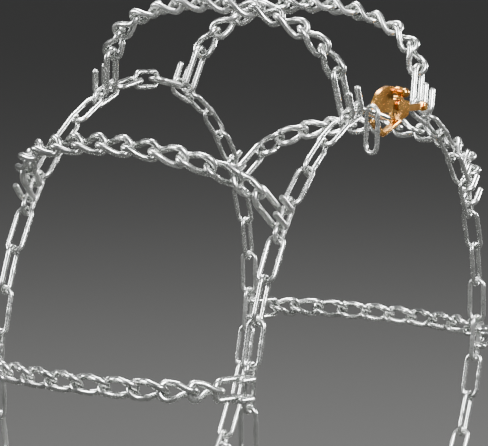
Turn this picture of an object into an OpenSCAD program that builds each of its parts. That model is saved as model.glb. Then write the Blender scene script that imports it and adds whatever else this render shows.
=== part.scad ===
// Ladder-type tyre chain for a loader wheel, shown closed round a tyre.
// The axle runs along Y and the wheel's middle is the origin.
// The side with the cam fastener faces -Y, and radii are measured from the axle.

/* [Side chains] */
// Radius of both side chains, from the axle to where their links meet
side_r = 300; // [270:1:330]
// Distance between the middles of the two side chains
side_gap = 316; // [260:1:380]
// Wire of the side links
side_wire = 5.5; // [4:0.1:6.2]
// Width of a side link, from wire middle to wire middle
side_w = 18; // [17:0.1:20]
// Free play left in each joint of the side chains
side_play = 0.5; // [0.4:0.1:1]
// Height of the weld bead on a side link
bead = 0.5; // [0.3:0.1:1]

/* [Cross chains] */
// Radius of the chain's own middle over the tread
tread_r = 420; // [400:1:440]
// Radius of the arc that each cross chain follows over the tread
tread_arc = 250; // [220:1:300]
// Radius of its bend over the tyre's shoulder
shoulder_arc = 88; // [80:1:92]
// Half width of the tyre with the chain at its shoulder
shoulder_y = 150; // [147:1:154]
// Radius at which the hooks meet the twisted links
hook_r = 348; // [342:1:354]
// Number of twisted links in each cross chain
twist_links = 11; // [11:1:11]
// Wire of the twisted links
twist_wire = 7; // [5:0.1:7.4]
// Width of a twisted link, from wire middle to wire middle
twist_w = 19.5; // [19:0.1:20]
// Twist from one end of a link to the other, in degrees
twist = 90; // [86:1:92]
// Roll from each link to the next beside the hooks, where the chain turns to meet them
end_roll = 12; // [10:1:14]
// Height of the knuckle at each bend of a twisted link
knuckle = 0.35; // [0.3:0.05:0.5]
// Free play left in each joint of the cross chains
twist_play = 1.2; // [1:0.1:1.6]
// Room between a hook and the first twisted link
hook_slack = 1; // [0.8:0.1:1.4]

/* [End hooks] */
// Wire of the cross-chain hooks
hook_wire = 7; // [5.5:0.1:7.4]
// Distance between a hook's two legs
hook_legs = 21; // [20:0.1:22]
// Room between a hook's fold and the bar that it holds
hook_play = 1.2; // [1:0.1:1.6]
// Straight length of a folded finger
finger = 22; // [14:1:28]

/* [Cam fastener] */
// How far the fastener leans out from the tyre, in degrees
lean = 12; // [8:1:14]
// How far the connecting link dips towards the axle, in degrees
link_dip = 13.5; // [12:0.5:15]
// How far this link hangs back from the anchor link
link_slack = 1.4; // [1.3:0.1:1.8]
// Radius of the half-round cam
cam_r = 30; // [26:0.5:32]
// Thickness of the cam
cam_t = 5; // [4:0.5:6]
// Along the fastener to the cam's round middle
cam_x = 50; // [48:0.5:52]
// Height of the cam's flat edge
cam_y = -4.5; // [-5:0.5:-4]
// Along the fastener to the cam's pivot
pivot_x = 69; // [67:0.5:71]
// Height of the cam's pivot
pivot_y = 4; // [3:0.5:5]
// Rivet that the cam turns on
pivot_d = 8; // [6:0.5:9]
// Radial clearance of the cam on this rivet
pivot_fit = 0.08; // [0.05:0.01:0.1]
// Hole in the cam for the tightening key
key_d = 9; // [6:0.5:10]
// Diameter of the thumb stud on the cam
stud_d = 11; // [8:0.5:12]
// Length of the stud's neck below its round head
stud_neck = 1; // [0.5:0.5:4]
// Thickness of the folded strap
strap_t = 4; // [3:0.5:5]
// Width of the folded strap
strap_w = 8; // [6:0.5:9]
// Pin that holds the fastener to the side chain
pin_d = 6; // [5:0.1:6.4]
// Diameter of the eyes that hold this pin
eye_d = 11; // [9:0.5:11]
// Width of the forked strap that ends in these eyes
fork_w = 8; // [6:0.5:10]
// Room between pieces that turn on each other
fit = 0.35; // [0.3:0.05:0.5]

/* [Spare link] */
// How far along the connecting link it hangs
spare_at = 11; // [10.5:0.5:14]
// Room above the bar that it hangs on
spare_play = 0.9; // [0.8:0.1:1.2]
// Turn of the hanging spare link about the vertical, in degrees
spare_turn = 20; // [16:1:22]

/* [Hidden] */
$fn = 64;
cross_count = 10;
first_angle = 68;
step = 360 / (cross_count * 4);
pitch = 2 * side_r * sin(step / 2);
mid_r = side_r * cos(step / 2);
side_in = pitch + side_play;
side_y = side_gap / 2;
bar_r = mid_r + side_w / 2;
zinc = [0.80, 0.81, 0.82];
gold = [0.78, 0.60, 0.30];

// Cross-chain path: an arc over the tread and a smaller one over each shoulder
turn_a = asin((shoulder_y - shoulder_arc) / (tread_arc - shoulder_arc));
tread_c = tread_r - tread_arc;
shoulder_c = tread_c + (tread_arc - shoulder_arc) * cos(turn_a);
end_a = acos((hook_r - shoulder_c) / shoulder_arc);
tread_len = tread_arc * turn_a * PI / 180;
half_len = tread_len + shoulder_arc * (end_a - turn_a) * PI / 180;
function tread_at(s) = let(a = s / tread_arc * 180 / PI)
    [tread_c + tread_arc * cos(a), tread_arc * sin(a)];
function shoulder_at(s) = let(a = turn_a + (s - tread_len) / shoulder_arc * 180 / PI)
    [shoulder_c + shoulder_arc * cos(a), shoulder_y - shoulder_arc + shoulder_arc * sin(a)];
function half_at(s) = s < tread_len ? tread_at(s) : shoulder_at(s);
function path(s) = let(p = half_at(abs(s))) [p.x, s < 0 ? -p.y : p.y];
twist_pitch = 2 * half_len / twist_links;
twist_in = twist_pitch + twist_play;
function joint_at(i) = path(i * twist_pitch - half_len);
function from_end(i) = min(i, twist_links - 1 - i);
function roll_of(i) = (i < twist_links / 2 ? -1 : 1) * max(0, 3 - from_end(i)) * end_roll;

// Hook: the fold goes round the side link's outer bar, the legs reach to the first joint
fold_r = side_wire / 2 + hook_play + hook_wire / 2;
hook_end = joint_at(0);
hook_dx = hook_end.x - bar_r;
hook_dy = hook_end.y + side_y;
hook_reach = sqrt(hook_dx * hook_dx + hook_dy * hook_dy - fold_r * fold_r);
hook_tilt = atan2(hook_dy, hook_dx) - atan2(fold_r, hook_reach);
leg_len = hook_reach + twist_play / 2 + hook_slack + hook_wire / 2 - hook_legs / 2;

// Fastener: it takes the place of three side links
gap_a = first_angle + step * 2;
gap_half = side_r * sin(step * 1.5);
gap_r = side_r * cos(step * 1.5);

function angle_of(k) = first_angle - 4 * step * (k - 1);
function two(k) = k < 10 ? str("0", k) : str(k);
numbers = [for (k = [1:cross_count]) k];
free_runs = [for (k = [1:cross_count - 1]) k];

// A straight round bar from one point to another
module bar(a, b, d) {
    v = b - a;
    len = norm(v);
    translate(a)
        rotate([0, acos(v.z / len), atan2(v.y, v.x)])
            cylinder(d = d, h = len);
}

// Half a ring of wire on the +X side, in the XY plane
module half_ring(r, d) {
    rotate([0, 0, -90])
        rotate_extrude(angle = 180)
            translate([r, 0])
                circle(d = d);
}

// A welded link along X, flat in XY, with its weld bead on the -Y bar
module plain_link(inner, w, d) {
    l = inner - w + d;
    for (m = [0, 1])
        mirror([m, 0, 0])
            translate([l / 2, 0, 0])
                half_ring(w / 2, d);
    for (s = [-1, 1])
        bar([-l / 2, s * w / 2, 0], [l / 2, s * w / 2, 0], d);
    bar([-side_wire * 0.4, -w / 2, 0], [side_wire * 0.4, -w / 2, 0], d + 2 * bead);
}

// A link along X with its two ends turned against each other and a knuckle at each bend
module twisted_link(inner, w, d) {
    h = w / 2;
    a = twist / 2;
    stub = d / 2 + knuckle + 0.1;
    l = inner - w + d - 2 * stub;
    for (m = [0, 180])
        rotate([0, 0, m])
            rotate([a, 0, 0]) {
                translate([l / 2 + stub, 0, 0])
                    half_ring(h, d);
                for (s = [-1, 1])
                    bar([l / 2, s * h, 0], [l / 2 + stub, s * h, 0], d);
            }
    for (s = [-1, 1]) {
        p = [-l / 2, s * h * cos(a), -s * h * sin(a)];
        q = [l / 2, s * h * cos(a), s * h * sin(a)];
        bar(p, q, d);
        translate(p) sphere(d = d + 2 * knuckle);
        translate(q) sphere(d = d + 2 * knuckle);
    }
}

// Moves to an angle on a side chain: X points outwards, Y along the axle, Z round the ring
module on_ring(angle, r, y) {
    rotate([0, -angle, 0])
        translate([r, y, 0])
            children();
}

// One side link, flat against the tyre or upright on its edge
module side_link(angle, y, upright) {
    on_ring(angle, mid_r, y)
        rotate([0, -90, -90])
            rotate([upright ? 90 : 0, 0, 0])
                plain_link(side_in, side_w, side_wire);
}

module anchor_links(y) {
    color(zinc)
        for (k = numbers)
            side_link(angle_of(k), y, false);
}

// The three free links between two anchor links; the middle one may be left out
module side_run(k, y, middle = true) {
    color(zinc) {
        side_link(angle_of(k) - step, y, true);
        if (middle)
            side_link(angle_of(k) - 2 * step, y, false);
        side_link(angle_of(k) - 3 * step, y, true);
    }
}

module twisted_links(k) {
    color(zinc)
        for (i = [0:twist_links - 1]) {
            a = joint_at(i);
            b = joint_at(i + 1);
            on_ring(angle_of(k), 0, 0)
                translate([(a.x + b.x) / 2, (a.y + b.y) / 2, 0])
                    rotate([90, 0, atan2(b.y - a.y, b.x - a.x)])
                        rotate([roll_of(i), 0, 0])
                            twisted_link(twist_in, twist_w, twist_wire);
        }
}

// Hook frame: X along the legs, Y away from the fold's finger side, Z between the legs
module hook_body() {
    translate([leg_len, fold_r, 0])
        rotate([90, 0, 0])
            half_ring(hook_legs / 2, hook_wire);
    for (s = [-1, 1]) {
        z = s * hook_legs / 2;
        bar([0, fold_r, z], [leg_len, fold_r, z], hook_wire);
        translate([0, 0, z])
            rotate([0, 0, 180])
                half_ring(fold_r, hook_wire);
        bar([0, -fold_r, z], [finger, -fold_r, z], hook_wire);
    }
}

module outer_hook(k) {
    color(zinc)
        on_ring(angle_of(k), bar_r, -side_y)
            rotate([0, 0, hook_tilt])
                hook_body();
}

module inner_hook(k) {
    color(zinc)
        mirror([0, 1, 0])
            outer_hook(k);
}

// The inner side chain closes with a hook: a link whose outer bar is cut, not welded
module inner_closing_hook() {
    gap = side_wire + 2;
    color(zinc)
        on_ring(gap_a, mid_r, side_y)
            rotate([0, -90, -90])
                difference() {
                    plain_link(side_in, side_w, side_wire);
                    translate([-gap / 2, side_w / 2 - side_wire, -side_wire])
                        cube([gap, 2 * side_wire, 2 * side_wire]);
                }
}

// Fastener frame: X along it from the left anchor link, Y outwards, Z away from the tyre
module on_fastener() {
    on_ring(gap_a, gap_r, -side_y)
        translate([0, 0, gap_half])
            rotate([0, -90, -90])
                rotate([0, 180, 0])
                    rotate([0, -lean, 0])
                        children();
}

module connecting_link() {
    color(zinc)
        on_fastener()
            rotate([0, 0, -link_dip])
                translate([pitch / 2 - link_slack, 0, 0])
                    rotate([90, 0, 0])
                        plain_link(side_in, side_w, side_wire);
}

// Left-hand normal of the line from one point to another
function normal(a, b) = let(v = b - a) [-v.y, v.x] / norm(v);

// A strip folded once: from tip to fold to root, t thick
module folded_strip(tip, fold, root, t) {
    n = normal(tip, fold) * t / 2;
    m = normal(fold, root) * t / 2;
    mitre = (n + m) / (1 + n * m / (t * t / 4));
    linear_extrude(strap_w, center = true)
        polygon([tip + n, fold + mitre, root + m, root - m, fold - mitre, tip - n]);
}

jaw_tip = [23, -13.5];
jaw_fold = [42.5, -29];
jaw_root = [72, -14.5];
back_z = -cam_t / 2 - fit - strap_t;
pin_x = 2 * gap_half + side_play / 2 + pin_d / 2 + fit;
leg_z = side_w / 2 + strap_t / 2;

neck = [pivot_x + 24, 0, back_z + strap_t / 2];
neck_x = neck.x * cos(lean) - neck.z * sin(lean);
neck_z = neck.x * sin(lean) + neck.z * cos(lean);

// Carries the pull of the side chain: folded jaw, back plate, and a fork round the end pin
module strap_bracket() {
    color(gold)
        difference() {
            union() {
                on_fastener() {
                    folded_strip(jaw_tip, jaw_fold, jaw_root, strap_t);
                    back_plate();
                }
                on_gap()
                    fork();
            }
            on_fastener()
                translate([pivot_x, pivot_y, back_z - 1])
                    cylinder(d = pivot_d + 0.05, h = strap_t + 2);
            on_gap()
                translate([pin_x, 0, -leg_z - strap_t])
                    cylinder(d = pin_d + 0.05, h = 2 * (leg_z + strap_t));
        }
}

module back_plate() {
    translate([0, 0, back_z])
        linear_extrude(strap_t)
            polygon([
                [jaw_root.x - 8, jaw_root.y - 3.6],
                [pivot_x - 7, pivot_y],
                [pivot_x - 4, pivot_y + 7],
                [pivot_x + 6, pivot_y + 7],
                [pivot_x + 26, 8],
                [pivot_x + 26, -8],
                [jaw_root.x + 4, jaw_root.y - 3]
            ]);
    translate([jaw_root.x - 4, jaw_root.y - strap_t / 2, back_z])
        cube([6, strap_t, -back_z]);
}

// Straight frame from the left anchor to the right one, without the lean
module on_gap() {
    on_ring(gap_a, gap_r, -side_y)
        translate([0, 0, gap_half])
            rotate([0, -90, -90])
                rotate([0, 180, 0])
                    children();
}

// A forked strap from the back plate to the two eyes of the end pin
module fork() {
    out = leg_z + strap_t / 2;
    in = leg_z - strap_t / 2;
    bend_x = pin_x - eye_d - 1;
    rotate([90, 0, 0])
        linear_extrude(fork_w, center = true)
            polygon([
                [neck_x - 4, neck_z + 0.8],
                [bend_x, out],
                [pin_x, out],
                [pin_x, in],
                [bend_x, in],
                [neck_x + 12, neck_z - 3.5],
                [bend_x, -in],
                [pin_x, -in],
                [pin_x, -out],
                [bend_x - 3, -out],
                [neck_x - 4, neck_z - 4]
            ]);
    for (s = [-1, 1])
        translate([pin_x, 0, s * leg_z - strap_t / 2 - 0.3])
            cylinder(d = eye_d, h = strap_t + 0.6);
}

module end_pin() {
    color(gold)
        on_gap()
            translate([pin_x, 0, -leg_z - strap_t / 2 - 0.3]) {
                cylinder(d = pin_d, h = 2 * leg_z + strap_t + 0.6);
                translate([0, 0, 2 * leg_z + strap_t + 0.6])
                    cylinder(d = pin_d + 3, h = 2.5);
            }
}

module cam() {
    stud = stud_at();
    color(gold)
        on_fastener()
            translate([0, 0, -cam_t / 2])
                difference() {
                    union() {
                        linear_extrude(cam_t)
                            intersection() {
                                translate([cam_x, cam_y])
                                    circle(r = cam_r);
                                translate([cam_x - cam_r, cam_y])
                                    square([2 * cam_r, cam_r]);
                            }
                        translate([pivot_x, pivot_y, 0])
                            cylinder(r = 8.5, h = cam_t);
                        translate([stud.x, stud.y, 0])
                            cylinder(d = stud_d + 2, h = cam_t);
                    }
                    translate([pivot_x, pivot_y, -1])
                        cylinder(d = pivot_d + 2 * pivot_fit, h = cam_t + 2);
                    translate([pivot_x - 9, pivot_y + 10.5, -1])
                        cylinder(d = key_d, h = cam_t + 2);
                }
}

function stud_at() = [cam_x + cam_r * cos(50), cam_y + cam_r * sin(50)];

module cam_rivet() {
    color(gold)
        on_fastener()
            translate([pivot_x, pivot_y, 0]) {
                translate([0, 0, back_z])
                    cylinder(d = pivot_d, h = -back_z + cam_t / 2 + fit + 0.5);
                translate([0, 0, cam_t / 2 + fit])
                    cylinder(d = pivot_d + 4, h = 2.5);
                translate([0, 0, back_z - 2])
                    cylinder(d = pivot_d + 4, h = 2);
            }
}

module thumb_stud() {
    p = stud_at();
    color(gold)
        on_fastener()
            translate([p.x, p.y, cam_t / 2]) {
                cylinder(d = stud_d - 3, h = stud_neck + stud_d / 2);
                translate([0, 0, stud_neck + stud_d / 2])
                    sphere(d = stud_d);
            }
}

// A point of the fastener's frame in the part's own frame
function fastener_point(x, y, z) =
    let(
        t = gap_half - x * cos(lean) + z * sin(lean),
        out = x * sin(lean) + z * cos(lean),
        r = gap_r + y
    )
    [r * cos(gap_a) - t * sin(gap_a), -side_y - out, r * sin(gap_a) + t * cos(gap_a)];

// Spare end link, hanging straight down from the outer bar of the connecting link
spare_bar = fastener_point(spare_at * cos(link_dip), -spare_at * sin(link_dip), side_w / 2);

module spare_link() {
    color(zinc)
        translate(spare_bar + [0, 0, side_wire / 2 + spare_play - side_in / 2])
            rotate([0, 90, -spare_turn])
                plain_link(side_in, side_w, side_wire);
}

anchor_links(-side_y);  // outer_anchor_links
anchor_links(side_y);  // inner_anchor_links
for (k = free_runs)
    side_run(k, -side_y);
for (k = numbers) {
    side_run(k, side_y, k != cross_count);
    twisted_links(k);
    outer_hook(k);
    inner_hook(k);
}
inner_closing_hook();
connecting_link();
strap_bracket();
cam();
cam_rivet();
thumb_stud();
end_pin();
spare_link();
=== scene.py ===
# Ladder-type tyre chain for a loader wheel, shown closed round a tyre that isn't there.
# Metres, +Z up, the axle along Y; the side with the cam fastener faces -Y.
import math

import bmesh
import bpy
from mathutils import Matrix, Vector


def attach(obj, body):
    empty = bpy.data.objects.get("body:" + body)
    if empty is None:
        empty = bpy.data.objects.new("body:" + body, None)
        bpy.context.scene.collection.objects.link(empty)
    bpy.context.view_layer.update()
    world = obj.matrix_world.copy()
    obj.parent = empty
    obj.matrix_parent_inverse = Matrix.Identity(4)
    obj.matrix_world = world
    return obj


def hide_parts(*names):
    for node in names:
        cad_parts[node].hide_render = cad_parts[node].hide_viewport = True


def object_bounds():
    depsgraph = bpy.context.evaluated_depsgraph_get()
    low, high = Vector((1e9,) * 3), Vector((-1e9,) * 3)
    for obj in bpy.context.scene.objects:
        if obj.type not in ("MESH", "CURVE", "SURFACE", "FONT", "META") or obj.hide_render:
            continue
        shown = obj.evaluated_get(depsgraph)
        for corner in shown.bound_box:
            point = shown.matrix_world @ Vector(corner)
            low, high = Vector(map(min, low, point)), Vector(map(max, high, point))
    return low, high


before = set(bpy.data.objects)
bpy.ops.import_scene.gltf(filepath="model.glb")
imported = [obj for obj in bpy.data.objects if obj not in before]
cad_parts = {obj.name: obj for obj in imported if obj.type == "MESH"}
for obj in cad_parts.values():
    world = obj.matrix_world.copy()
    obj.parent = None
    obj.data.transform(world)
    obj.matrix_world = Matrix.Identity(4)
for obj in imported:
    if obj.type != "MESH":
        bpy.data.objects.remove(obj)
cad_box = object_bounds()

MM = 0.001

# ---------------------------------------------------------------- Stand and light
# A plain dark floor under the ring of chain, as dark as the rubber that it would lie on.
# The camera looks along the tread from the fastener's side, a little from above.
WHEEL_MIDDLE = Vector((0, 0, 0))
CAMERA_TURN = math.radians(-62.44)
CAMERA_RISE = math.radians(11.28)
CAMERA_ROLL = math.radians(1.63)
CAMERA_DISTANCE = 3.716
AIM_ABOVE_MIDDLE = math.radians(2.199)
AIM_LEFT_OF_MIDDLE = math.radians(0.087)
SENSOR = 36.0
LENS = 234.21

back = Vector((
    math.sin(CAMERA_TURN) * math.cos(CAMERA_RISE),
    -math.cos(CAMERA_TURN) * math.cos(CAMERA_RISE),
    math.sin(CAMERA_RISE),
))
right = Vector((math.cos(CAMERA_TURN), math.sin(CAMERA_TURN), 0))
up = back.cross(right)
facing = Matrix((right, up, back)).transposed().to_4x4()
aim = (
    Matrix.Rotation(CAMERA_ROLL, 4, "Z")
    @ Matrix.Rotation(AIM_ABOVE_MIDDLE, 4, "X")
    @ Matrix.Rotation(AIM_LEFT_OF_MIDDLE, 4, "Y")
)
camera = bpy.data.objects.new("camera", bpy.data.cameras.new("camera"))
camera.data.sensor_width = SENSOR
camera.data.lens = LENS
camera.matrix_world = Matrix.Translation(WHEEL_MIDDLE + back * CAMERA_DISTANCE) @ facing @ aim
camera.data.clip_start, camera.data.clip_end = 0.05, 60
bpy.context.scene.collection.objects.link(camera)
bpy.context.scene.camera = camera


def soft_light(name, place, size, watts):
    """A square lamp that faces the wheel's middle."""
    lamp = bpy.data.objects.new(name, bpy.data.lights.new(name, "AREA"))
    lamp.data.shape = "SQUARE"
    lamp.data.size = size
    lamp.data.energy = watts
    lamp.location = place
    lamp.rotation_mode = "QUATERNION"
    lamp.rotation_quaternion = Vector(place).to_track_quat("Z", "Y")
    bpy.context.scene.collection.objects.link(lamp)


soft_light("key_light", place=(-2.0, -2.6, 2.4), size=1.5, watts=420)
soft_light("rim_light", place=(0.9, 0.9, 2.6), size=1.2, watts=200)
soft_light("side_light", place=(2.6, -2.0, 0.9), size=0.9, watts=170)
soft_light("back_light", place=(-1.6, 2.6, 1.2), size=1.0, watts=140)

SUN_STRENGTH = 1.7
SUN_SPREAD = math.radians(25)
SUN_FROM = Vector((-0.5, -0.35, 1.0))
sun = bpy.data.objects.new("sky_light", bpy.data.lights.new("sky_light", "SUN"))
sun.data.energy = SUN_STRENGTH
sun.data.angle = SUN_SPREAD
sun.rotation_mode = "QUATERNION"
sun.rotation_quaternion = SUN_FROM.to_track_quat("Z", "Y")
bpy.context.scene.collection.objects.link(sun)

SKY_COLOUR = (0.86, 0.87, 0.89, 1)
SKY_STRENGTH = 0.22
world = bpy.data.worlds.new("studio")
world.use_nodes = True
sky = world.node_tree.nodes["Background"]
sky.inputs["Color"].default_value = SKY_COLOUR
sky.inputs["Strength"].default_value = SKY_STRENGTH
bpy.context.scene.world = world

FLOOR_SIZE = 60.0
FLOOR_COLOUR = (0.022, 0.022, 0.021, 1)
FLOOR_ROUGHNESS = 0.85
floor_mesh = bpy.data.meshes.new("floor")
half = FLOOR_SIZE / 2
floor_z = cad_box[0].z
corners = [(x, y, floor_z) for x, y in ((-half, -half), (half, -half), (half, half), (-half, half))]
floor_mesh.from_pydata(corners, [], [(0, 1, 2, 3)])
floor = bpy.data.objects.new("floor", floor_mesh)
bpy.context.scene.collection.objects.link(floor)
floor_paint = bpy.data.materials.new("floor_paint")
floor_paint.use_nodes = True
floor_shader = floor_paint.node_tree.nodes["Principled BSDF"]
floor_shader.inputs["Base Color"].default_value = FLOOR_COLOUR
floor_shader.inputs["Roughness"].default_value = FLOOR_ROUGHNESS
floor_mesh.materials.append(floor_paint)


# ---------------------------------------------------------------- Side chains
# Two rings of welded links in round steel wire, bright zinc plated. Every other link lies
# flat against the tyre and the rest stand on edge. Each has a small bead where it was welded.
class Term:
    """A node's output that can be used in sums. Without an output it only adds nodes."""

    def __init__(self, tree, socket=None):
        self.tree = tree
        self.socket = socket

    def node(self, kind, settings=(), sockets=(), out=0):
        made = self.tree.nodes.new(kind)
        for key, value in dict(settings).items():
            setattr(made, key, value)
        for key, value in dict(sockets).items():
            if isinstance(value, Term):
                self.tree.links.new(value.socket, made.inputs[key])
            else:
                made.inputs[key].default_value = value
        return Term(self.tree, made.outputs[out])

    def sum(self, operation, *others):
        values = dict(enumerate((self, *others)))
        return self.node("ShaderNodeMath", {"operation": operation}, values)

    def __add__(self, other):
        return self.sum("ADD", other)

    def __sub__(self, other):
        return self.sum("SUBTRACT", other)

    def __mul__(self, other):
        return self.sum("MULTIPLY", other)

    def __truediv__(self, other):
        return self.sum("DIVIDE", other)

    def __rsub__(self, other):
        return self.node("ShaderNodeMath", {"operation": "SUBTRACT"}, {0: other, 1: self})

    def least(self, other):
        return self.sum("MINIMUM", other)

    def most(self, other):
        return self.sum("MAXIMUM", other)


CLOUD_CONTRAST = 2.2
CLOUD_SHARE, TONE_SHARE, GRAIN_SHARE = 0.55, 0.25, 0.2
TONE_ROUGHNESS = 0.06
GRAIN_HEIGHT, CLOUD_HEIGHT = 0.7, 0.3
SKIN_STRENGTH, SKIN_DEPTH = 0.12, 0.3 * MM


def plated(name, dull, bright, smoothest, rough_drift, grain, mottle):
    """Plated steel: the plating's tone drifts along the wire and from piece to piece."""
    paint = bpy.data.materials.new(name)
    paint.use_nodes = True
    tree = paint.node_tree
    shader = tree.nodes["Principled BSDF"]
    shader.inputs["Metallic"].default_value = 1.0
    desk = Term(tree)
    place = desk.node("ShaderNodeTexCoord", out="Object")
    tone = desk.node("ShaderNodeAttribute", {"attribute_name": "tone"}, out="Fac")
    cloud = desk.node("ShaderNodeTexNoise", sockets={"Vector": place, "Scale": mottle, "Detail": 3.0})
    fine = desk.node("ShaderNodeTexNoise", sockets={"Vector": place, "Scale": grain, "Detail": 4.0})
    spread = (cloud - 0.5) * CLOUD_CONTRAST + 0.5
    share = spread * CLOUD_SHARE + tone * TONE_SHARE + fine * GRAIN_SHARE
    share = share.most(0.0).least(1.0)
    colour = desk.node(
        "ShaderNodeMix",
        {"data_type": "RGBA"},
        {"Factor": share, 6: dull, 7: bright},
        out=2,
    )
    tree.links.new(colour.socket, shader.inputs["Base Color"])
    roughness = fine * rough_drift + tone * TONE_ROUGHNESS + smoothest
    tree.links.new(roughness.socket, shader.inputs["Roughness"])
    height = fine * GRAIN_HEIGHT + cloud * CLOUD_HEIGHT
    skin = desk.node(
        "ShaderNodeBump",
        sockets={"Height": height, "Strength": SKIN_STRENGTH, "Distance": SKIN_DEPTH},
    )
    tree.links.new(skin.socket, shader.inputs["Normal"])
    return paint


zinc = plated(
    "zinc",
    dull=(0.33, 0.345, 0.33, 1),
    bright=(0.86, 0.87, 0.85, 1),
    smoothest=0.17,
    rough_drift=0.14,
    grain=420.0,
    mottle=55.0,
)

SIDE_RADIUS = 300.0
SIDE_Y = 158.0
SIDE_WIRE = 5.5
SIDE_WIDTH = 18.0
SIDE_PLAY = 0.5
CROSS_COUNT = 10
LINKS_PER_CROSS = 4
FIRST_ANGLE = 68.0
STEP = 360 / (CROSS_COUNT * LINKS_PER_CROSS)
PITCH = 2 * SIDE_RADIUS * math.sin(math.radians(STEP / 2))
RING_MIDDLE = SIDE_RADIUS * math.cos(math.radians(STEP / 2))
SIDE_INNER = PITCH + SIDE_PLAY


def cross_angle(number):
    return FIRST_ANGLE - LINKS_PER_CROSS * STEP * (number - 1)


def turned(x, y, z):
    """Turns about X, then Y, then Z, in degrees."""
    return (
        Matrix.Rotation(math.radians(z), 4, "Z")
        @ Matrix.Rotation(math.radians(y), 4, "Y")
        @ Matrix.Rotation(math.radians(x), 4, "X")
    )


def moved(x, y, z):
    return Matrix.Translation((x * MM, y * MM, z * MM))


def on_ring(angle, radius, y):
    """A place on a side chain: X outwards, Y along the axle, Z round the ring."""
    return turned(0, -angle, 0) @ moved(radius, y, 0)


def side_place(angle, y, upright):
    return on_ring(angle, RING_MIDDLE, y) @ turned(0, -90, -90) @ turned(90 if upright else 0, 0, 0)


def new_tree(name, *sizes):
    """An empty tree that takes points and named sizes and gives back finished pieces."""
    tree = bpy.data.node_groups.new(name, "GeometryNodeTree")
    face = tree.interface
    face.new_socket("Points", in_out="INPUT", socket_type="NodeSocketGeometry")
    for size in sizes:
        face.new_socket(size, in_out="INPUT", socket_type="NodeSocketFloat")
    face.new_socket("Seed", in_out="INPUT", socket_type="NodeSocketInt")
    face.new_socket("Finish", in_out="INPUT", socket_type="NodeSocketMaterial")
    face.new_socket("Pieces", in_out="OUTPUT", socket_type="NodeSocketGeometry")
    entry = tree.nodes.new("NodeGroupInput")
    given = {s.name: Term(tree, s) for s in entry.outputs if s.name}
    return tree, Term(tree), given


def place_along(desk, given, line, sides, capped=False):
    """Sweeps the wire along the line, sets one at each point, and gives each its own tone."""
    ring = desk.node(
        "GeometryNodeCurvePrimitiveCircle",
        {"mode": "RADIUS"},
        {"Resolution": sides, "Radius": given["Wire"] / 2},
    )
    swell = desk.node("GeometryNodeInputRadius")
    sweep = {"Curve": line, "Profile Curve": ring, "Scale": swell, "Fill Caps": capped}
    body = desk.node("GeometryNodeCurveToMesh", sockets=sweep)
    body = desk.node("GeometryNodeSetShadeSmooth", sockets={"Geometry": body})
    tone = desk.node(
        "FunctionNodeRandomValue",
        {"data_type": "FLOAT"},
        {"Seed": given["Seed"]},
        out=1,
    )
    points = desk.node(
        "GeometryNodeStoreNamedAttribute",
        {"data_type": "FLOAT", "domain": "POINT"},
        {"Geometry": given["Points"], "Name": "tone", "Value": tone},
    )
    turn = desk.node(
        "GeometryNodeInputNamedAttribute", {"data_type": "FLOAT_VECTOR"}, {"Name": "turn"}
    )
    turn = desk.node("FunctionNodeEulerToRotation", sockets={"Euler": turn})
    pieces = desk.node(
        "GeometryNodeInstanceOnPoints",
        sockets={"Points": points, "Instance": body, "Rotation": turn},
    )
    pieces = desk.node("GeometryNodeRealizeInstances", sockets={"Geometry": pieces})
    pieces = desk.node(
        "GeometryNodeSetMaterial", sockets={"Geometry": pieces, "Material": given["Finish"]}
    )
    end = desk.tree.nodes.new("NodeGroupOutput")
    desk.tree.links.new(pieces.socket, end.inputs["Pieces"])


LOOP_STEPS = 50
WIRE_SIDES = 12
TWIST_REACH = 0.35
SIDE_SWITCH = 1e4


def link_tree(name, around):
    """A closed link along X: two bends and two straights, turned by Twist end to end."""
    tree, desk, given = new_tree(
        name, "Wire", "Width", "Inner length", "Twist", "Waist", "Bead height", "Bead length"
    )
    bend = given["Width"] / 2
    straight = given["Inner length"] - given["Width"] + given["Wire"]
    line = desk.node(
        "GeometryNodeCurvePrimitiveCircle",
        {"mode": "RADIUS"},
        {"Resolution": LOOP_STEPS, "Radius": bend},
    )

    def axes():
        place = desk.node("GeometryNodeInputPosition")
        split = desk.node("ShaderNodeSeparateXYZ", sockets={0: place})
        return split, Term(tree, split.socket.node.outputs[1])

    x = axes()[0]
    shift = desk.node("ShaderNodeCombineXYZ", sockets={0: x.sum("SIGN") * straight / 2})
    line = desk.node("GeometryNodeSetPosition", sockets={"Geometry": line, "Offset": shift})
    line = desk.node("GeometryNodeResampleCurve", sockets={"Curve": line, "Count": around})
    x, y = axes()
    near = x / given["Bead length"]
    on_one_side = (y * SIDE_SWITCH).most(-1.0).least(0.0) * -1
    bead = (0 - near * near).sum("EXPONENT") * on_one_side
    swell = bead * given["Bead height"] / given["Wire"] * 2 + 1
    line = desk.node("GeometryNodeSetCurveRadius", sockets={"Curve": line, "Radius": swell})
    along = (x / (straight / 2 + bend * TWIST_REACH)).most(-1.0).least(1.0)
    angle = (along * (math.pi / 2)).sum("SINE") * given["Twist"] / 2
    slim = y * (1 - given["Waist"] * (1 - along * along))
    shape = desk.node(
        "ShaderNodeCombineXYZ",
        sockets={0: x, 1: slim * angle.sum("COSINE"), 2: slim * angle.sum("SINE")},
    )
    line = desk.node("GeometryNodeSetPosition", sockets={"Geometry": line, "Position": shape})
    place_along(desk, given, line, WIRE_SIDES)
    return tree


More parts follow.
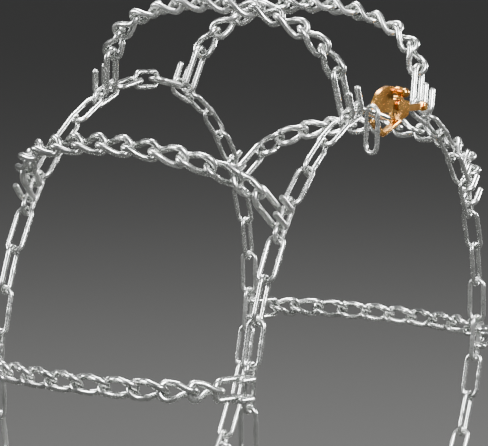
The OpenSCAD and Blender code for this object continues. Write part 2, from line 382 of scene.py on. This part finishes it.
def grown(name, tree, places, sizes, finish, seed):
    """Runs a tree on points at those places and keeps the result as one plain mesh."""
    mesh = bpy.data.meshes.new(name)
    mesh.from_pydata([p.translation for p in places], [], [])
    turns = mesh.attributes.new("turn", "FLOAT_VECTOR", "POINT")
    for at, p in enumerate(places):
        turns.data[at].vector = p.to_euler("XYZ")
    seedling = bpy.data.objects.new(name, mesh)
    bpy.context.scene.collection.objects.link(seedling)
    growth = seedling.modifiers.new("growth", "NODES")
    growth.node_group = tree
    given = dict(sizes, Seed=seed, Finish=finish)
    for item in tree.interface.items_tree:
        if item.in_out == "INPUT" and item.name in given:
            growth[item.identifier] = given[item.name]
    seen = bpy.context.evaluated_depsgraph_get()
    plain = bpy.data.meshes.new_from_object(seedling.evaluated_get(seen))
    bpy.data.objects.remove(seedling)
    bpy.data.meshes.remove(mesh)
    plain.name = name
    piece = bpy.data.objects.new(name, plain)
    bpy.context.scene.collection.objects.link(piece)
    return piece


def fit_out(piece, body, slot, *nodes):
    """The piece rides on its body and stands for its parts. The slot is not used."""
    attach(piece, body)
    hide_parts(*nodes)


SIDE_SEED, RUN_SEED = 11, 20
plain_tree = link_tree("welded_link", around=40)
SIDE_SIZES = {
    "Wire": SIDE_WIRE * MM,
    "Width": SIDE_WIDTH * MM,
    "Inner length": SIDE_INNER * MM,
    "Twist": 0.0,
    "Waist": 0.0,
    "Bead height": 0.5 * MM,
    "Bead length": 1.9 * MM,
}

for side, y in (("outer", -SIDE_Y), ("inner", SIDE_Y)):
    anchors = [side_place(cross_angle(k), y, False) for k in range(1, CROSS_COUNT + 1)]
    piece = grown(f"{side}_anchor_set", plain_tree, anchors, SIDE_SIZES, zinc, SIDE_SEED)
    fit_out(piece, "side_chains", "side_chain_zinc", f"{side}_anchor_links")
    for k in range(1, CROSS_COUNT + (side == "inner")):
        start = cross_angle(k)
        free = [side_place(start - STEP, y, True), side_place(start - 3 * STEP, y, True)]
        if k < CROSS_COUNT:
            free.append(side_place(start - 2 * STEP, y, False))
        piece = grown(f"{side}_run_{k:02}_links", plain_tree, free, SIDE_SIZES, zinc, RUN_SEED + k)
        fit_out(piece, f"{side}_run_{k:02}", "side_chain_zinc", f"{side}_side_run_{k:02}")


# ---------------------------------------------------------------- Cross chains
# Ten chains of eleven twisted links over the tread. Each link is a welded one whose ends were
# turned a quarter against each other, so that the chain lies with an even grip.
TREAD_RADIUS = 420.0
TREAD_ARC = 250.0
SHOULDER_ARC = 88.0
SHOULDER_Y = 150.0
HOOK_RADIUS = 348.0
TWIST_LINKS = 11
TWIST_WIRE = 7.0
TWIST_WIDTH = 19.5
TWIST_PLAY = 1.2
END_ROLL = 12.0
ROLLED_LINKS = 3

turn_angle = math.asin((SHOULDER_Y - SHOULDER_ARC) / (TREAD_ARC - SHOULDER_ARC))
tread_middle = TREAD_RADIUS - TREAD_ARC
shoulder_middle = tread_middle + (TREAD_ARC - SHOULDER_ARC) * math.cos(turn_angle)
end_angle = math.acos((HOOK_RADIUS - shoulder_middle) / SHOULDER_ARC)
tread_length = TREAD_ARC * turn_angle
half_length = tread_length + SHOULDER_ARC * (end_angle - turn_angle)
twist_pitch = 2 * half_length / TWIST_LINKS


def chain_path(along):
    """Radius and axle position of a point on a cross chain, from the tread's middle."""
    far = abs(along)
    if far < tread_length:
        bend = far / TREAD_ARC
        radius = tread_middle + TREAD_ARC * math.cos(bend)
        y = TREAD_ARC * math.sin(bend)
    else:
        bend = turn_angle + (far - tread_length) / SHOULDER_ARC
        radius = shoulder_middle + SHOULDER_ARC * math.cos(bend)
        y = SHOULDER_Y - SHOULDER_ARC + SHOULDER_ARC * math.sin(bend)
    return Vector((radius, math.copysign(y, along)))


def joint_at(number):
    return chain_path(number * twist_pitch - half_length)


def twisted_place(cross, number):
    start, end = joint_at(number), joint_at(number + 1)
    middle, run = (start + end) / 2, end - start
    from_end = min(number, TWIST_LINKS - 1 - number)
    roll = max(0, ROLLED_LINKS - from_end) * END_ROLL * (-1 if number < TWIST_LINKS / 2 else 1)
    lie = math.degrees(math.atan2(run.y, run.x))
    return (
        on_ring(cross_angle(cross), 0, 0)
        @ moved(middle.x, middle.y, 0)
        @ turned(90, 0, lie)
        @ turned(roll, 0, 0)
    )


TWIST_SEED = 40
twisted_tree = link_tree("twisted_link", around=48)
TWIST_SIZES = {
    "Wire": TWIST_WIRE * MM,
    "Width": TWIST_WIDTH * MM,
    "Inner length": (twist_pitch + TWIST_PLAY) * MM,
    "Twist": math.radians(90),
    "Waist": 0.14,
    "Bead height": 0.45 * MM,
    "Bead length": 2.2 * MM,
}
for k in range(1, CROSS_COUNT + 1):
    places = [twisted_place(k, i) for i in range(TWIST_LINKS)]
    name = f"cross_chain_{k:02}_links"
    piece = grown(name, twisted_tree, places, TWIST_SIZES, zinc, TWIST_SEED + k)
    fit_out(piece, f"cross_chain_{k:02}", "cross_chain_zinc", f"twisted_links_{k:02}")


# ---------------------------------------------------------------- End hooks
# A bent U of round wire at each end of a cross chain. Its two fingers are folded back
# round the outer bar of a side link.
HOOK_WIRE = 7.0
HOOK_LEGS = 21.0
HOOK_PLAY = 1.2
HOOK_SLACK = 1.0
FINGER = 22.0
HOOK_STEPS = 105
HOOK_SIDES = 14
TIP_SHARE = 0.7
HOOK_SEED = 60
bar_radius = RING_MIDDLE + SIDE_WIDTH / 2
fold = SIDE_WIRE / 2 + HOOK_PLAY + HOOK_WIRE / 2
hook_end = joint_at(0)
reach_x, reach_y = hook_end.x - bar_radius, hook_end.y + SIDE_Y
reach = math.sqrt(reach_x**2 + reach_y**2 - fold**2)
hook_tilt = math.degrees(math.atan2(reach_y, reach_x) - math.atan2(fold, reach))
leg_length = reach + TWIST_PLAY / 2 + HOOK_SLACK + HOOK_WIRE / 2 - HOOK_LEGS / 2


def hook_tree():
    """The wire's line from one finger tip round the U to the other, as one formula."""
    tree, desk, given = new_tree(
        "end_hook", "Wire", "Legs apart", "Leg length", "Fold", "Finger", "Tip chamfer"
    )
    half_apart = given["Legs apart"] / 2
    bight_end = half_apart * (math.pi / 2)
    fold_start = bight_end + given["Leg length"]
    fold_end = fold_start + given["Fold"] * math.pi
    tip = fold_end + given["Finger"]
    line = desk.node(
        "GeometryNodeCurvePrimitiveLine",
        {"mode": "POINTS"},
        {"Start": (-1, 0, 0), "End": (1, 0, 0)},
    )
    line = desk.node("GeometryNodeResampleCurve", sockets={"Curve": line, "Count": HOOK_STEPS})
    place = desk.node("GeometryNodeInputPosition")
    side = desk.node("ShaderNodeSeparateXYZ", sockets={0: place})
    far = side.sum("ABSOLUTE") * tip
    bight = far.least(bight_end) / half_apart
    down = (far - bight_end).most(0.0).least(given["Leg length"])
    round_fold = ((far - fold_start) / given["Fold"]).most(0.0).least(math.pi)
    back_up = (far - fold_end).most(0.0)
    x = given["Leg length"] + half_apart * bight.sum("COSINE") - down
    x = x - given["Fold"] * round_fold.sum("SINE") + back_up
    y = given["Fold"] * round_fold.sum("COSINE")
    z = side.sum("SIGN") * half_apart * bight.sum("SINE")
    swell = ((tip - far) / given["Tip chamfer"] * (1 - TIP_SHARE) + TIP_SHARE).least(1.0)
    line = desk.node("GeometryNodeSetCurveRadius", sockets={"Curve": line, "Radius": swell})
    shape = desk.node("ShaderNodeCombineXYZ", sockets={0: x, 1: y, 2: z})
    line = desk.node("GeometryNodeSetPosition", sockets={"Geometry": line, "Position": shape})
    place_along(desk, given, line, HOOK_SIDES, capped=True)
    return tree


hooks = hook_tree()
HOOK_SIZES = {
    "Wire": HOOK_WIRE * MM,
    "Legs apart": HOOK_LEGS * MM,
    "Leg length": leg_length * MM,
    "Fold": fold * MM,
    "Finger": FINGER * MM,
    "Tip chamfer": 1.6 * MM,
}
for k in range(1, CROSS_COUNT + 1):
    places = {
        "outer": on_ring(cross_angle(k), bar_radius, -SIDE_Y) @ turned(0, 0, hook_tilt),
        "inner": on_ring(cross_angle(k), bar_radius, SIDE_Y) @ turned(180, 0, -hook_tilt),
    }
    for side, place in places.items():
        name = f"{side}_end_hook_{k:02}"
        piece = grown(name, hooks, [place], HOOK_SIZES, zinc, HOOK_SEED + k)
        fit_out(piece, f"cross_chain_{k:02}", "cross_chain_zinc", f"{side}_hook_{k:02}")


# ---------------------------------------------------------------- Joining links
# Single welded links: the connecting link on the fastener and the spare one that hangs from it.
LEAN = 12.0
LINK_DIP = 13.5
LINK_SLACK = 1.4
SPARE_AT = 11.0
SPARE_PLAY = 0.9
SPARE_TURN = 20.0
CONNECTING_SEED, SPARE_SEED = 81, 82
gap_angle = FIRST_ANGLE + STEP * 2
gap_half = SIDE_RADIUS * math.sin(math.radians(STEP * 1.5))
gap_radius = SIDE_RADIUS * math.cos(math.radians(STEP * 1.5))
gap_place = on_ring(gap_angle, gap_radius, -SIDE_Y) @ moved(0, 0, gap_half)
gap_place = gap_place @ turned(0, -90, -90) @ turned(0, 180, 0)
fastener_place = gap_place @ turned(0, -LEAN, 0)
link_place = fastener_place @ turned(0, 0, -LINK_DIP)
link_place = link_place @ moved(PITCH / 2 - LINK_SLACK, 0, 0) @ turned(90, 0, 0)
piece = grown("connecting_welded_link", plain_tree, [link_place], SIDE_SIZES, zinc, CONNECTING_SEED)
fit_out(piece, "fastener", "side_chain_zinc", "connecting_link")

dip = math.radians(LINK_DIP)
spare_bar = fastener_place @ Vector((
    SPARE_AT * math.cos(dip) * MM, -SPARE_AT * math.sin(dip) * MM, SIDE_WIDTH / 2 * MM
))
drop = SIDE_WIRE / 2 + SPARE_PLAY - SIDE_INNER / 2
spare_place = Matrix.Translation(spare_bar) @ moved(0, 0, drop) @ turned(0, 90, -SPARE_TURN)
piece = grown("spare_welded_link", plain_tree, [spare_place], SIDE_SIZES, zinc, SPARE_SEED)
fit_out(piece, "spare_link", "side_chain_zinc", "spare_link")


# ---------------------------------------------------------------- Cam fastener
# Pressed and bent steel with yellow plating: a folded strap, a half-round cam that turns on a
# rivet and has a stud for the thumb, and a pin that holds the strap to the side chain.
gold = plated(
    "yellow_plate",
    dull=(0.42, 0.16, 0.02, 1),
    bright=(0.92, 0.52, 0.14, 1),
    smoothest=0.16,
    rough_drift=0.16,
    grain=380.0,
    mottle=60.0,
)


SAME_PLACE = 0.002 * MM
SAME_FACE = math.radians(1.0)
EASED_ANGLE = math.radians(35)
SHARP_ANGLE = math.radians(40)


def rounded(name, node, width, body):
    """A part's own shape with its loose edges joined and its corners eased."""
    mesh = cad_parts[node].data.copy()
    mesh.name = name
    work = bmesh.new()
    work.from_mesh(mesh)
    bmesh.ops.remove_doubles(work, verts=work.verts, dist=SAME_PLACE)
    bmesh.ops.dissolve_limit(work, angle_limit=SAME_FACE, verts=work.verts, edges=work.edges)
    work.to_mesh(mesh)
    work.free()
    mesh.materials.clear()
    mesh.materials.append(gold)
    piece = bpy.data.objects.new(name, mesh)
    bpy.context.scene.collection.objects.link(piece)
    ease = piece.modifiers.new("ease", "BEVEL")
    ease.width = width * MM
    ease.segments = 2
    ease.limit_method = "ANGLE"
    ease.angle_limit = EASED_ANGLE
    ease.harden_normals = False
    mesh.set_sharp_from_angle(angle=SHARP_ANGLE)
    for face in mesh.polygons:
        face.use_smooth = True
    fit_out(piece, body, "yellow_zinc", node)


rounded("folded_strap", "strap_bracket", 0.5, "fastener")
rounded("half_round_cam", "cam", 0.7, "cam")
rounded("cam_pivot_rivet", "cam_rivet", 0.8, "fastener")
rounded("cam_thumb_stud", "thumb_stud", 0.3, "cam")
rounded("strap_end_pin", "end_pin", 0.7, "fastener")


# ---------------------------------------------------------------- Inner closing hook
# On the far side the chain closes with an open link: its outer bar is cut through.
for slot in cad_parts["inner_closing_hook"].material_slots:
    slot.material = zinc
